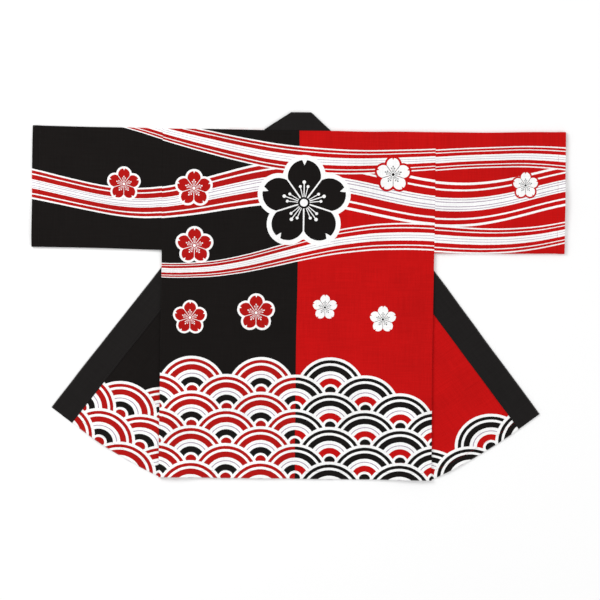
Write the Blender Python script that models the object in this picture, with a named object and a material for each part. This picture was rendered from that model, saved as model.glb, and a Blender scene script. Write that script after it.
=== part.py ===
"""Happi coat, laid flat with its back up and both fronts turned out to the sides.

Metres, +Z up. The coat lies on z = 0, +Y points from the hem to the neck, and +X is the wearer's right as
seen from behind the coat, which is the side that faces up. The origin is the middle of the coat's box.

From the table up, the layers are: the turned-out half of each front and the collar band, then the other
half of each front, then the back. Each front turns on an oblique crease from the neck to the hem's corner,
so its printed side and the collar along its edge show beyond the side seam.
"""

import math

import bmesh
import bpy
from mathutils import Vector

# Driving dimensions of the garment, as cut and sewn.
BODY_HALF = 0.313
BODY_LENGTH = 0.800
SLEEVE_END = 0.613
SLEEVE_DEPTH = 0.278
SLEEVE_RISE = 0.004
COLLAR_WIDTH = 0.059
FRONT_EDGE = 0.070
FRONT_DROP = 0.0285

# The crease that turns each front out: where it starts below the shoulder, and its angle from the front edge.
CREASE_START = 0.0937
CREASE_ANGLE = math.radians(18.58)

# The back of the neck, where the collar stands past the shoulder line. It leans a little to one side.
NECK_BASE = (-0.0821, 0.0718)
NECK_TOP = (-0.0184, 0.0251)
COLLAR_RISE = 0.0426

# Cloth walls, the collar's four layers, the space that neighbours keep, and the air between back and fronts.
CLOTH = 0.0012
COLLAR_THICK = 0.0024
GAP = 0.0003
LOFT = 0.0009

# Heights of the middle of each cloth layer, and the radii of the folds that join them.
TABLE_LEVEL = CLOTH / 2
FRONT_LEVEL = COLLAR_THICK + GAP + CLOTH / 2
BACK_LEVEL = FRONT_LEVEL + CLOTH + LOFT
CREASE_RADIUS = (FRONT_LEVEL - TABLE_LEVEL) / 2
SHOULDER_RADIUS = (BACK_LEVEL - FRONT_LEVEL) / 2

# Inside the edge of the layers under it, the back starts to sink and then reaches the table.
SINK_STARTS = 0.040
SINK_ENDS = 0.115

# Over this length from the armhole, the sleeve's underside comes down to the table.
SLEEVE_SINK = 0.060

# Shares of a quarter turn at which the shoulder's rows lie. The curl stops just short of the seam, which
# leaves the gap between the back and the fronts.
SEAM_TURNS = (0.76, 0.72, 0.4, 0.0)

# The coat's box runs from just below the back's hem to the top of the collar.
HEM_OVERHANG = 0.0011
SHOULDER_Y = (BODY_LENGTH + HEM_OVERHANG - COLLAR_RISE) / 2

# Distances along the collar's seam from the crease's start. The band stands clear of the front up to
# NECK_CLEAR_ENDS, and is sewn to it from SEWN_FROM down.
NECK_REACH = -0.104
NECK_CLEAR_ENDS = 0.012
SEWN_FROM = 0.036
NECK_CLEARANCE = 0.006

# Roundings of the collar's edges: along the bands, and behind the neck where it lies on itself.
BAND_ROUNDING = 0.0005
NECK_ROUNDING = 0.0012

# How finely the pieces are divided.
BACK_COLUMNS = 24
BACK_ROWS = 22
BACK_ROWS_FROM = 0.030
FRONT_UPPER_COLUMNS = 6
FRONT_CREASE_COLUMNS = 6
FRONT_OUTER_COLUMNS = 7
LEAST_COLUMN = 0.0006
SLEEVE_SIDE_STEPS = 8
SLEEVE_FOLD_STEPS = 6
SLEEVE_SINK_STEPS = 4
SLEEVE_OUTER_STEPS = 5

# Rows down a front. They lie close together where the crease starts, and further apart elsewhere.
FRONT_ROWS = (
    # from, to, steps
    (0.020, CREASE_START - 0.010, 3),
    (CREASE_START - 0.010, CREASE_START + 0.020, 9),
    (CREASE_START + 0.020, BODY_LENGTH, 18),
)

# The dyed cotton: linear colours, roughness, and the angle past which an edge is shaded sharp.
BLACK = (0.010, 0.009, 0.009, 1.0)
RED = (0.55, 0.006, 0.006, 1.0)
COTTON_ROUGHNESS = 0.85
SHARP_ANGLE = math.radians(35)


def ease(value, low, high):
    """0 below low, 1 above high, and a smooth step between them."""
    t = min(1.0, max(0.0, (value - low) / (high - low)))
    return t * t * (3 - 2 * t)


def spread(start, end, count):
    """count + 1 evenly spaced values from start to end."""
    return [start + (end - start) * i / count for i in range(count + 1)]


def cotton(name, colour):
    """A matt dyed cotton."""
    material = bpy.data.materials.new(name)
    material.use_nodes = True
    shader = material.node_tree.nodes["Principled BSDF"]
    shader.inputs["Base Color"].default_value = colour
    shader.inputs["Roughness"].default_value = COTTON_ROUGHNESS
    shader.inputs["Metallic"].default_value = 0.0
    return material


def add_solid(name, points, faces, material):
    """One closed mesh object, with its faces turned outwards."""
    mesh = bpy.data.meshes.new(name)
    mesh.from_pydata(points, [], faces)
    solid = bmesh.new()
    solid.from_mesh(mesh)
    bmesh.ops.recalc_face_normals(solid, faces=solid.faces)
    solid.to_mesh(mesh)
    solid.free()
    mesh.materials.append(material)
    mesh.shade_smooth()
    mesh.set_sharp_from_angle(angle=SHARP_ANGLE)
    obj = bpy.data.objects.new(name, mesh)
    bpy.context.scene.collection.objects.link(obj)
    return obj


def grid_normals(grid):
    """The unit normal of a grid of points at each of its points."""
    last_row, last_column = len(grid) - 1, len(grid[0]) - 1
    normals = []
    for r, row in enumerate(grid):
        normals.append([])
        for c in range(len(row)):
            across = row[min(c + 1, last_column)] - row[max(c - 1, 0)]
            along = grid[min(r + 1, last_row)][c] - grid[max(r - 1, 0)][c]
            normals[-1].append(along.cross(across).normalized())
    return normals


def cloth_wall(name, grid, material):
    """A wall of cloth whose middle surface is a grid of points, as one closed solid."""
    rows, columns = len(grid), len(grid[0])
    normals = grid_normals(grid)
    half = CLOTH / 2
    upper = [p + n * half for row, ns in zip(grid, normals) for p, n in zip(row, ns)]
    lower = [p - n * half for row, ns in zip(grid, normals) for p, n in zip(row, ns)]
    count = rows * columns
    faces = []
    for r in range(rows - 1):
        for c in range(columns - 1):
            corner = r * columns + c
            quad = (corner, corner + 1, corner + columns + 1, corner + columns)
            faces.append(quad)
            faces.append(tuple(count + i for i in reversed(quad)))
    rim = list(range(columns))
    rim += [r * columns + columns - 1 for r in range(1, rows)]
    rim += [(rows - 1) * columns + c for c in range(columns - 2, -1, -1)]
    rim += [r * columns for r in range(rows - 2, 0, -1)]
    for i, a in enumerate(rim):
        b = rim[(i + 1) % len(rim)]
        faces.append((a, a + count, b + count, b))
    return add_solid(name, upper + lower, faces, material)


def shoulder_curl(turn):
    """(distance down, rise) of a layer's middle as it curls into the shoulder seam, turn from 0 to 1."""
    angle = turn * math.pi / 2
    return SHOULDER_RADIUS * (1 - math.sin(angle)), SHOULDER_RADIUS * (1 - math.cos(angle))


def crease_x(down):
    """Where the oblique crease crosses a front, at a distance down from the shoulder."""
    return FRONT_EDGE + (down - CREASE_START) * math.tan(CREASE_ANGLE)


def support_edge(down):
    """How far from the middle the layers under the back begin: at the neckline, then at the crease."""
    if down < CREASE_START:
        return FRONT_EDGE * down / CREASE_START
    return crease_x(down)


def back_height(x, down):
    """The back lies on the fronts at its sides and settles onto the table in the middle."""
    inside = support_edge(down) - abs(x)
    return BACK_LEVEL + (TABLE_LEVEL - BACK_LEVEL) * ease(inside, SINK_STARTS, SINK_ENDS)


def make_back(material):
    """The back: one panel from shoulder to hem."""
    columns = spread(-BODY_HALF, BODY_HALF, BACK_COLUMNS)
    grid = []
    for turn in SEAM_TURNS:
        down, drop = shoulder_curl(turn)
        grid.append([Vector((x, SHOULDER_Y - down, BACK_LEVEL - drop)) for x in columns])
    for down in spread(BACK_ROWS_FROM, BODY_LENGTH, BACK_ROWS):
        grid.append([Vector((x, SHOULDER_Y - down, back_height(x, down))) for x in columns])
    return cloth_wall("back", grid, material)


def front_hem(x):
    """How far below the shoulder a front's hem is, which drops towards the front edge in a bow."""
    from_edge = (x - FRONT_EDGE) / (BODY_HALF - FRONT_EDGE)
    return BODY_LENGTH + FRONT_DROP * (1 - from_edge ** 2)


def turn_out(x, down):
    """Folds a point of the flat front round its crease: (x, distance down, height of the middle)."""
    sin_a, cos_a = math.sin(CREASE_ANGLE), math.cos(CREASE_ANGLE)
    across, below = x - FRONT_EDGE, down - CREASE_START
    along = across * sin_a + below * cos_a
    past = -across * cos_a + below * sin_a
    quarter = math.pi * CREASE_RADIUS / 2
    if past <= -quarter:
        offset, height = past, FRONT_LEVEL
    elif past >= quarter:
        offset, height = -past, TABLE_LEVEL
    else:
        angle = (past + quarter) / CREASE_RADIUS
        offset = -quarter + CREASE_RADIUS * math.sin(angle)
        height = TABLE_LEVEL + CREASE_RADIUS * (1 + math.cos(angle))
    folded_x = FRONT_EDGE + along * sin_a - offset * cos_a
    folded_down = CREASE_START + along * cos_a + offset * sin_a
    return folded_x, folded_down, height


def front_columns(share):
    """Flat (x, distance down) across one row of a front: the upper half, the crease, the turned-out half."""
    bend = math.pi * CREASE_RADIUS / 2 / math.cos(CREASE_ANGLE)
    middle = BODY_HALF
    for _ in range(8):
        middle = crease_x(share * front_hem(middle))
    outer = max(middle - bend, FRONT_EDGE + FRONT_OUTER_COLUMNS * LEAST_COLUMN)
    inner = max(middle + bend, outer + FRONT_CREASE_COLUMNS * LEAST_COLUMN)
    across = spread(BODY_HALF, inner, FRONT_UPPER_COLUMNS)
    across += spread(inner, outer, FRONT_CREASE_COLUMNS)[1:]
    across += spread(outer, FRONT_EDGE, FRONT_OUTER_COLUMNS)[1:]
    return [(x, share * front_hem(x)) for x in across]


def make_front(name, side, material):
    """One front, folded on its oblique crease. side is -1 for the left and 1 for the right."""
    grid = []
    for turn in SEAM_TURNS:
        down, rise = shoulder_curl(turn)
        at_seam = front_columns(0.0)
        grid.append([Vector((side * x, SHOULDER_Y - down, FRONT_LEVEL + rise)) for x, _ in at_seam])
    downs = [FRONT_ROWS[0][0]]
    for start, end, steps in FRONT_ROWS:
        downs += spread(start, end, steps)[1:]
    for down in downs:
        row = []
        for x, flat_down in front_columns(down / BODY_LENGTH):
            folded_x, folded_down, height = turn_out(x, flat_down)
            row.append(Vector((side * folded_x, SHOULDER_Y - folded_down, height)))
        grid.append(row)
    return cloth_wall(name, grid, material)


def sleeve_ring(x, half_wall):
    """The sleeve's flattened section at x, moved out from the cloth's middle by half_wall."""
    from_body = x - BODY_HALF
    low = FRONT_LEVEL + (TABLE_LEVEL - FRONT_LEVEL) * ease(from_body, 0.0, SLEEVE_SINK)
    radius = (BACK_LEVEL - low) / 2
    centre = (BACK_LEVEL + low) / 2
    lift = SLEEVE_RISE * from_body / (SLEEVE_END - BODY_HALF)
    top = SHOULDER_Y + lift - radius
    bottom = SHOULDER_Y + lift - SLEEVE_DEPTH + radius
    outer = radius + half_wall
    ring = []
    for start, end, above, turn in ((bottom, top, 1, 90), (top, bottom, -1, -90)):
        ring += [(y, centre + above * outer) for y in spread(start, end, SLEEVE_SIDE_STEPS)[:-1]]
        for degrees in spread(turn, turn - 180, SLEEVE_FOLD_STEPS)[:-1]:
            angle = math.radians(degrees)
            ring.append((end + outer * math.cos(angle), centre + outer * math.sin(angle)))
    return [Vector((x, y, z)) for y, z in ring]


def make_sleeve(name, side, material):
    """One sleeve: a tube pressed flat, open at the armhole and at the cuff."""
    start = BODY_HALF + GAP
    stations = spread(start, start + SLEEVE_SINK, SLEEVE_SINK_STEPS)
    stations += spread(start + SLEEVE_SINK, SLEEVE_END, SLEEVE_OUTER_STEPS)[1:]
    rings = []
    for x in stations:
        rings.append((sleeve_ring(x, CLOTH / 2), sleeve_ring(x, -CLOTH / 2)))
    size = len(rings[0][0])
    points = [Vector((side * p.x, p.y, p.z)) for pair in rings for ring in pair for p in ring]
    faces = []
    for s in range(len(rings) - 1):
        for i in range(size):
            j = (i + 1) % size
            for wall in (0, 1):
                a = (2 * s + wall) * size
                b = (2 * (s + 1) + wall) * size
                quad = (a + i, b + i, b + j, a + j)
                faces.append(quad if wall == 0 else tuple(reversed(quad)))
    for s in (0, len(rings) - 1):
        for i in range(size):
            j = (i + 1) % size
            a, b = 2 * s * size, (2 * s + 1) * size
            quad = (a + i, a + j, b + j, b + i)
            faces.append(quad if s == 0 else tuple(reversed(quad)))
    return add_solid(name, points, faces, material)


def prism(name, outline, low, high, rounding, material):
    """A flat piece with that outline, between two heights, with its edges rounded."""
    count = len(outline)
    points = [Vector((x, y, low)) for x, y in outline] + [Vector((x, y, high)) for x, y in outline]
    faces = [tuple(range(count - 1, -1, -1)), tuple(range(count, 2 * count))]
    for i in range(count):
        j = (i + 1) % count
        faces.append((i, j, j + count, i + count))
    obj = add_solid(name, points, faces, material)
    bevel = obj.modifiers.new("rounded_edges", "BEVEL")
    bevel.width = rounding
    bevel.segments = 2
    bevel.limit_method = "ANGLE"
    return obj


def band_points():
    """One front band, right side: its sewn edge from the neck down, then the outer corner of its end."""
    sin_t, cos_t = math.sin(2 * CREASE_ANGLE), math.cos(2 * CREASE_ANGLE)
    start = Vector((FRONT_EDGE, SHOULDER_Y - CREASE_START))
    along, aside = Vector((sin_t, -cos_t)), Vector((cos_t, sin_t))
    length = front_hem(FRONT_EDGE) - CREASE_START
    places = (
        # distance along the seam, distance out from it
        (NECK_REACH, NECK_CLEARANCE),
        (NECK_CLEAR_ENDS, NECK_CLEARANCE),
        (SEWN_FROM, GAP),
        (length, GAP),
        (length, COLLAR_WIDTH),
    )
    return [start + along * distance + aside * out for distance, out in places]


def make_collar(material):
    """The collar: a folded band from hem to hem, round the back of the neck."""
    band = band_points()
    top = SHOULDER_Y + COLLAR_RISE
    neck = [(NECK_BASE[1], SHOULDER_Y), (NECK_TOP[1], top), (NECK_TOP[0], top), (NECK_BASE[0], SHOULDER_Y)]
    outline = [(p.x, p.y) for p in band] + neck + [(-p.x, p.y) for p in reversed(band)]
    collar = prism("collar", outline, 0.0, COLLAR_THICK, BAND_ROUNDING, material)
    # Behind the neck the band lies on itself, up to the height of the back.
    base = SHOULDER_Y + CLOTH / 2 + GAP
    fold = [(NECK_BASE[0], base), (NECK_BASE[1], base), (NECK_TOP[1], top), (NECK_TOP[0], top)]
    neck_fold = prism("neck_fold", fold, CLOTH / 2, BACK_LEVEL + CLOTH / 2, NECK_ROUNDING, material)
    neck_fold.hide_render = True
    neck_fold.display_type = "WIRE"
    join = collar.modifiers.new("neck_join", "BOOLEAN")
    join.operation = "UNION"
    join.object = neck_fold
    return collar


def build():
    """The whole coat: the back, the collar and the left side are black, and the right side is red."""
    for obj in list(bpy.data.objects):
        bpy.data.objects.remove(obj)
    black = cotton("black_cotton", BLACK)
    red = cotton("red_cotton", RED)
    make_back(black)
    make_front("front_left", -1, black)
    make_front("front_right", 1, red)
    make_sleeve("sleeve_left", -1, black)
    make_sleeve("sleeve_right", 1, red)
    make_collar(black)


build()
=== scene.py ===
"""The looks of a happi coat, laid flat with its back up and both fronts turned out to the sides.

Metres, in the frame's own axes: +Y from the hem to the neck, +Z up, and +X to the wearer's right. Each panel
is a thin closed shell of cotton on its solid's form. Every point of a panel knows its place on the flat cloth
before it was folded, and the print, the weave and the dye are drawn by that place.
"""

import math
import random

import bpy
import numpy as np
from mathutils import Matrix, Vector, noise


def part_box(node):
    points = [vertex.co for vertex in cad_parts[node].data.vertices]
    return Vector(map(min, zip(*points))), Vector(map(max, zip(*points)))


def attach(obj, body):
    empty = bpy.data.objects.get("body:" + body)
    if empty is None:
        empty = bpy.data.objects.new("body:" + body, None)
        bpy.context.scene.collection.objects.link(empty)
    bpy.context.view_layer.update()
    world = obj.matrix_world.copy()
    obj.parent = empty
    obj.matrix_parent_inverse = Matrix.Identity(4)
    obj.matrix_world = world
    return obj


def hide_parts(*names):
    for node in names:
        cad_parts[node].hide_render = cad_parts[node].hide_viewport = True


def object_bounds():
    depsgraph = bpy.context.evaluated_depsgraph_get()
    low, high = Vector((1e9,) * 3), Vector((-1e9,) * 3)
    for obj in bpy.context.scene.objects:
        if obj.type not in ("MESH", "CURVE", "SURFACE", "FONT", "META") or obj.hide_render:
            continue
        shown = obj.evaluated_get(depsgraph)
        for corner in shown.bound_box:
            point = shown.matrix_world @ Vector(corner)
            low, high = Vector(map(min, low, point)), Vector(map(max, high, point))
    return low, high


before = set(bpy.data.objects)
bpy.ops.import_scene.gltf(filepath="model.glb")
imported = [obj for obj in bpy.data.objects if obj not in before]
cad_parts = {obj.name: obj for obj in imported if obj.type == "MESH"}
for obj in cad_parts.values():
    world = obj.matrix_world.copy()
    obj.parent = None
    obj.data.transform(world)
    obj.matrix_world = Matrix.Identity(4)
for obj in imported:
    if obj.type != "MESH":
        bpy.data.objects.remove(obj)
cad_low, cad_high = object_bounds()
back_low, back_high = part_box("back")

# Sizes of the coat, from the frame where a box gives them.
BODY_HALF = back_high.x
BODY_LENGTH = 0.800
SHOULDER_Y = back_low.y + BODY_LENGTH
SLEEVE_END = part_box("sleeve_right")[1].x
SLEEVE_DEPTH = 0.278
SLEEVE_RISE = 0.004
COLLAR_WIDTH = 0.059
FRONT_EDGE = 0.070
FRONT_DROP = 0.0285
CREASE_START = 0.0937
CREASE_ANGLE = math.radians(18.58)
NECK_BASE = (-0.0821, 0.0718)
NECK_TOP = (-0.0184, 0.0251)

# Heights of the layers' middles, and the radii of the folds between them.
TABLE_LEVEL = 0.0006
FRONT_LEVEL = 0.0033
BACK_LEVEL = 0.0054
COAT_TOP = cad_high.z
CREASE_RADIUS = (FRONT_LEVEL - TABLE_LEVEL) / 2
SHOULDER_RADIUS = (BACK_LEVEL - FRONT_LEVEL) / 2
SINK_STARTS = 0.040
SINK_ENDS = 0.115
SLEEVE_SINK = 0.060

# Cloth, hems, seams and sewing.
SHELL = 0.0008
COLLAR_THICK = 0.0024
COLLAR_SWELL = 0.00035
NECK_WALL = 0.0020
NECK_SWELL = 0.0005
HEM_WIDTH = 0.020
HEM_SWELL = 0.00035
SEWN_AT = 0.017
GROOVE = 0.00035
GROOVE_WIDTH = 0.0013
SEAM_DIP = 0.0006
SEAM_RADIUS = 0.0012
SEAM_ALLOWANCE = 0.012
ALLOWANCE_RISE = 0.00025
EDGE_RADIUS = 0.0007
PUCKER_RISE = 0.00022
STITCH_LENGTH = 0.0030
STITCH_PITCH = 0.0038
THREAD_RADIUS = 0.00020
COLLAR_SEWN_AT = 0.0028
THREAD_PITCH = 0.0008

# The collar laps this far over the front's edge, and the print slips this far up where a sleeve is sewn on.
COLLAR_LAP = 0.0008
PRINT_SLIP = {-1: -0.0012, 1: 0.0024}

# The collar's length past the fronts' bands: up to the neck on each side, and behind it.
COLLAR_TO_NECK = 0.090
COLLAR_AT_NECK = 0.14

# How far laid cloth strays in plan, and how high and how far in its free hems ripple.
BROAD_DRIFT = 0.0018
SMALL_DRIFT = 0.0005
RIPPLE = 0.0040
RIPPLE_REACH = 0.085

# How finely the shells are divided: the usual step, and the extra steps by an edge and by a sewn line.
STEP = 0.0050
EDGE_STEPS = (0.00010, 0.00030, 0.00065, 0.00120, 0.00250)
SEWN_STEPS = (-0.0026, -0.0013, -0.0006, 0.0, 0.0006, 0.0013, 0.0026)

# Dyes and thread, as linear colours.
BLACK = (0.0074, 0.0058, 0.0053)
# The collar's black is a little lighter than the body's; part of that lift is painted sheen.
COLLAR_BLACK_AND_SHEEN = (0.0120, 0.0106, 0.0103)
RED = (0.545, 0.0034, 0.0034)
DEEP_RED = (0.440, 0.0060, 0.0048)
WHITE = (0.985, 0.985, 0.980)
LINE = (0.38, 0.29, 0.39)
BLACK_THREAD = (0.012, 0.011, 0.011)
RED_THREAD = (0.42, 0.008, 0.008)

# Wear along a fold: its colour, how far in it reaches and its strength. And how the inside greys.
WORN = (0.34, 0.32, 0.31)
WORN_WIDTH = 0.0030
WORN_SHARE = 0.64
INSIDE_GREY = (0.20, 0.19, 0.19, 1.0)
INSIDE_FADE = 0.12

# How strongly the dye shows: throughout, and what uneven threads and clouds in the dye add. The weave adds
# painted shade, lighter on the threads' tops and darker between them.
DYE_BASE = 0.86
DYE_BY_THREADS = 0.50
DYE_BY_CLOUDS = 0.30
WEAVE_SHADE = 0.22

# The photo's frame: its pixels, its centre from the middle of the shoulder line, and its tilt.
PHOTO_PIXELS = 600
PIXEL = 0.0023
PHOTO_WIDTH = PHOTO_PIXELS * PIXEL
PHOTO_CENTRE = (0.0064, -0.3890)
PHOTO_TILT = 0.0133
LENS = 85.0
SENSOR = 36.0

# The stage.
FLOOR_SIZE = 60.0
FLOOR_DROP = 0.0004
STUDIO_LIGHT = 0.72
LAMPS = (
    # name, place, size, power
    ("key", (-2.4, 1.9, 2.2), 1.6, 62.0),
    ("fill", (2.6, -1.6, 2.8), 2.4, 22.0),
)


# Shapes of lines and steps


def ease(value, low, high):
    """0 below low, 1 above high, and a smooth step between them."""
    t = min(1.0, max(0.0, (value - low) / (high - low)))
    return t * t * (3 - 2 * t)


def roll(distance, radius, depth):
    """How far a surface has turned down, at a distance from an edge that it rolls into."""
    if distance >= radius:
        return 0.0
    return depth * (1 - math.sqrt(max(0.0, 1 - (1 - distance / radius) ** 2)))


def rounded(distance, radius=EDGE_RADIUS):
    """The share of the full thickness that a rounded edge has, at a distance from it."""
    if distance >= radius:
        return 1.0
    return max(0.10, math.sqrt(max(0.0, 1 - (1 - distance / radius) ** 2)))


def hem_swell(distance):
    """How much thicker a hem makes the cloth, at a distance from the hemmed edge."""
    return HEM_SWELL * (1 - ease(distance, HEM_WIDTH - 0.0015, HEM_WIDTH + 0.0010))


def groove(distance):
    """How deep a sewn line pulls the cloth in, at a distance from the line."""
    return GROOVE * math.exp(-((distance / GROOVE_WIDTH) ** 2))


def pucker(along, across, reach, seed):
    """The small uneven swells that sewing draws up beside a line."""
    near = math.exp(-((across / reach) ** 2))
    waves = noise.noise(Vector((along * 75, seed, across * 30)))
    return PUCKER_RISE * near * max(0.0, waves + 0.25)


def stops(start, end, step, fine=()):
    """Positions from start to end, about step apart, with extra ones at the fine places."""
    least = 0.015 * step
    kept = []
    for p in sorted(fine):
        if start + least < p < end - least and (not kept or p - kept[-1] > least):
            kept.append(p)
    count = max(1, round((end - start) / step))
    places = list(kept)
    for i in range(count + 1):
        p = start + (end - start) * i / count
        if i in (0, count) or all(abs(p - f) > 0.35 * step for f in kept):
            places.append(p)
    return sorted(places)


# The form of the coat, by place on its flat panels


def crease_x(down):
    """Where the oblique crease crosses a front, at a distance down from the shoulder."""
    return FRONT_EDGE + (down - CREASE_START) * math.tan(CREASE_ANGLE)


def front_hem(x):
    """How far below the shoulder a front's hem is, which drops towards the front edge in a bow."""
    from_edge = (x - FRONT_EDGE) / (BODY_HALF - FRONT_EDGE)
    return BODY_LENGTH + FRONT_DROP * (1 - from_edge ** 2)


# Soft ridges where the cloth was pulled as it was laid out.
BACK_RIDGES = (
    # from x, from down, to x, to down, half width, height
    (-0.300, 0.285, -0.185, 0.385, 0.011, 0.0011),
    (-0.306, 0.300, -0.235, 0.440, 0.009, 0.0008),
    (0.302, 0.283, 0.200, 0.350, 0.010, 0.0010),
    (0.305, 0.305, 0.245, 0.400, 0.012, 0.0009),
    (-0.070, 0.015, -0.150, 0.085, 0.010, 0.0007),
    (0.074, 0.012, 0.165, 0.060, 0.009, 0.0008),
    (-0.120, 0.640, -0.080, 0.775, 0.014, 0.0007),
    (0.060, 0.560, 0.105, 0.700, 0.013, 0.0006),
    (0.215, 0.600, 0.235, 0.760, 0.012, 0.0008),
)
SLEEVE_RIDGES = (
    # from x, from down, to x, to down, half width, height
    (0.325, 0.262, 0.400, 0.180, 0.010, 0.0010),
    (0.330, 0.020, 0.420, 0.055, 0.011, 0.0007),
    (0.470, 0.120, 0.575, 0.150, 0.013, 0.0006),
    (0.440, 0.215, 0.540, 0.235, 0.010, 0.0006),
)
SLEEVE_UNDER_RIDGES = (
    # from x, from down, to x, to down, half width, height
    (0.405, 0.060, 0.500, 0.105, 0.012, 0.0009),
    (0.430, 0.225, 0.560, 0.170, 0.011, 0.0008),
    (0.500, 0.045, 0.585, 0.060, 0.010, 0.0007),
)
FRONT_RIDGES = {
    # side: from x, from down, to x, to down, half width, height, on the half that is turned out
    -1: (
        (0.078, 0.560, 0.150, 0.690, 0.011, 0.0009),
        (0.112, 0.815, 0.098, 0.690, 0.012, 0.0008),
        (0.245, 0.790, 0.165, 0.660, 0.011, 0.0008),
    ),
    1: (
        (0.080, 0.640, 0.175, 0.720, 0.012, 0.0009),
        (0.165, 0.810, 0.140, 0.725, 0.010, 0.0007),
        (0.265, 0.795, 0.205, 0.705, 0.012, 0.0009),
        (0.074, 0.790, 0.110, 0.735, 0.010, 0.0007),
    ),
}


def ridge_height(x, down, ridges):
    """The height of the tallest soft ridge over a place on a panel."""
    best = 0.0
    for x0, d0, x1, d1, half_width, height in ridges:
        dx, dd = x1 - x0, d1 - d0
        share = ((x - x0) * dx + (down - d0) * dd) / (dx * dx + dd * dd)
        if not -0.3 < share < 1.3:
            continue
        away = abs((x - x0) * dd - (down - d0) * dx) / math.hypot(dx, dd)
        taper = ease(share, -0.15, 0.35) * (1 - ease(share, 0.55, 1.15))
        best = max(best, height * taper * math.exp(-((away / half_width) ** 2)))
    return best


def drape(x, down, seed, amount=0.0010):
    """The slight unevenness of cloth that lies on other cloth. It is never below 0."""
    broad = noise.noise(Vector((x * 6.0, down * 4.5, seed)))
    small = noise.noise(Vector((x * 17.0, down * 13.0, seed + 7.3)))
    return amount * (0.55 + 0.40 * broad + 0.15 * small)


def hem_ripple(along, distance, seed):
    """How far a free hem stands off what it lies on, in low uneven ripples that die away from the hem."""
    waves = noise.noise(Vector((along * 10.0, distance * 5.0, seed)))
    return RIPPLE * max(0.0, waves + 0.10) * (1 - ease(distance, 0.0, RIPPLE_REACH))


def settle(vertices):
    """The same points moved a little in plan: no edge of laid cloth is quite straight."""
    settled = []
    for x, y, z in vertices:
        shift = [
            BROAD_DRIFT * noise.noise(Vector((x * 5.0, y * 5.0, seed)))
            + SMALL_DRIFT * noise.noise(Vector((x * 16.0, y * 16.0, seed)))
            for seed in (0.4, 31.7)
        ]
        settled.append((x + shift[0], y + shift[1], z))
    return settled


def support_edge(down):
    """How far from the middle the layers under the back begin."""
    if down < CREASE_START:
        return FRONT_EDGE * down / CREASE_START
    return crease_x(down)


def side_depth(down):
    """How far a panel's side turns towards its seam: little at the armhole, and all the way below it."""
    below = ease(down, SLEEVE_DEPTH - 0.004, SLEEVE_DEPTH + 0.004)
    return SEAM_DIP + (SHOULDER_RADIUS - SEAM_DIP) * below


def back_middle(x, down):
    """The middle of the back's cloth."""
    settled = ease(support_edge(down) - abs(x), SINK_STARTS, SINK_ENDS)
    z = BACK_LEVEL + (TABLE_LEVEL - BACK_LEVEL) * settled
    z += drape(x, down, 1.7) + ridge_height(x, down, BACK_RIDGES)
    z += hem_ripple(x, BODY_LENGTH - down, 2.6) * ease(BODY_HALF - abs(x), 0.0, 0.030)
    z += ALLOWANCE_RISE * (1 - ease(BODY_HALF - abs(x), SEAM_ALLOWANCE - 0.002, SEAM_ALLOWANCE + 0.002))
    z -= roll(down, SHOULDER_RADIUS, SHOULDER_RADIUS)
    z -= roll(BODY_HALF - abs(x), SEAM_RADIUS, side_depth(down))
    return Vector((x, SHOULDER_Y - down, z))


def front_middle(side, x, down):
    """The middle of a front's cloth, folded round its crease. x is the place on the flat right front."""
    sin_a, cos_a = math.sin(CREASE_ANGLE), math.cos(CREASE_ANGLE)
    across, below = x - FRONT_EDGE, down - CREASE_START
    along = across * sin_a + below * cos_a
    past = -across * cos_a + below * sin_a
    quarter = math.pi * CREASE_RADIUS / 2
    if past <= -quarter:
        offset, z = past, FRONT_LEVEL
        z += roll(down, SHOULDER_RADIUS, SHOULDER_RADIUS)
        z += roll(BODY_HALF - x, SEAM_RADIUS, side_depth(down))
    elif past >= quarter:
        offset, z = -past, TABLE_LEVEL
        loose = drape(x, down, 4.1 + side) + ridge_height(x, down, FRONT_RIDGES[side])
        loose += hem_ripple(x, front_hem(x) - down, 5.2 + side) * ease(x - FRONT_EDGE, 0.0, 0.030)
        z += loose * ease(past, quarter, 0.030)
    else:
        angle = (past + quarter) / CREASE_RADIUS
        offset = -quarter + CREASE_RADIUS * math.sin(angle)
        z = TABLE_LEVEL + CREASE_RADIUS * (1 + math.cos(angle))
    folded_x = FRONT_EDGE + along * sin_a - offset * cos_a
    folded_down = CREASE_START + along * cos_a + offset * sin_a
    return Vector((side * folded_x, SHOULDER_Y - folded_down, z))


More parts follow.
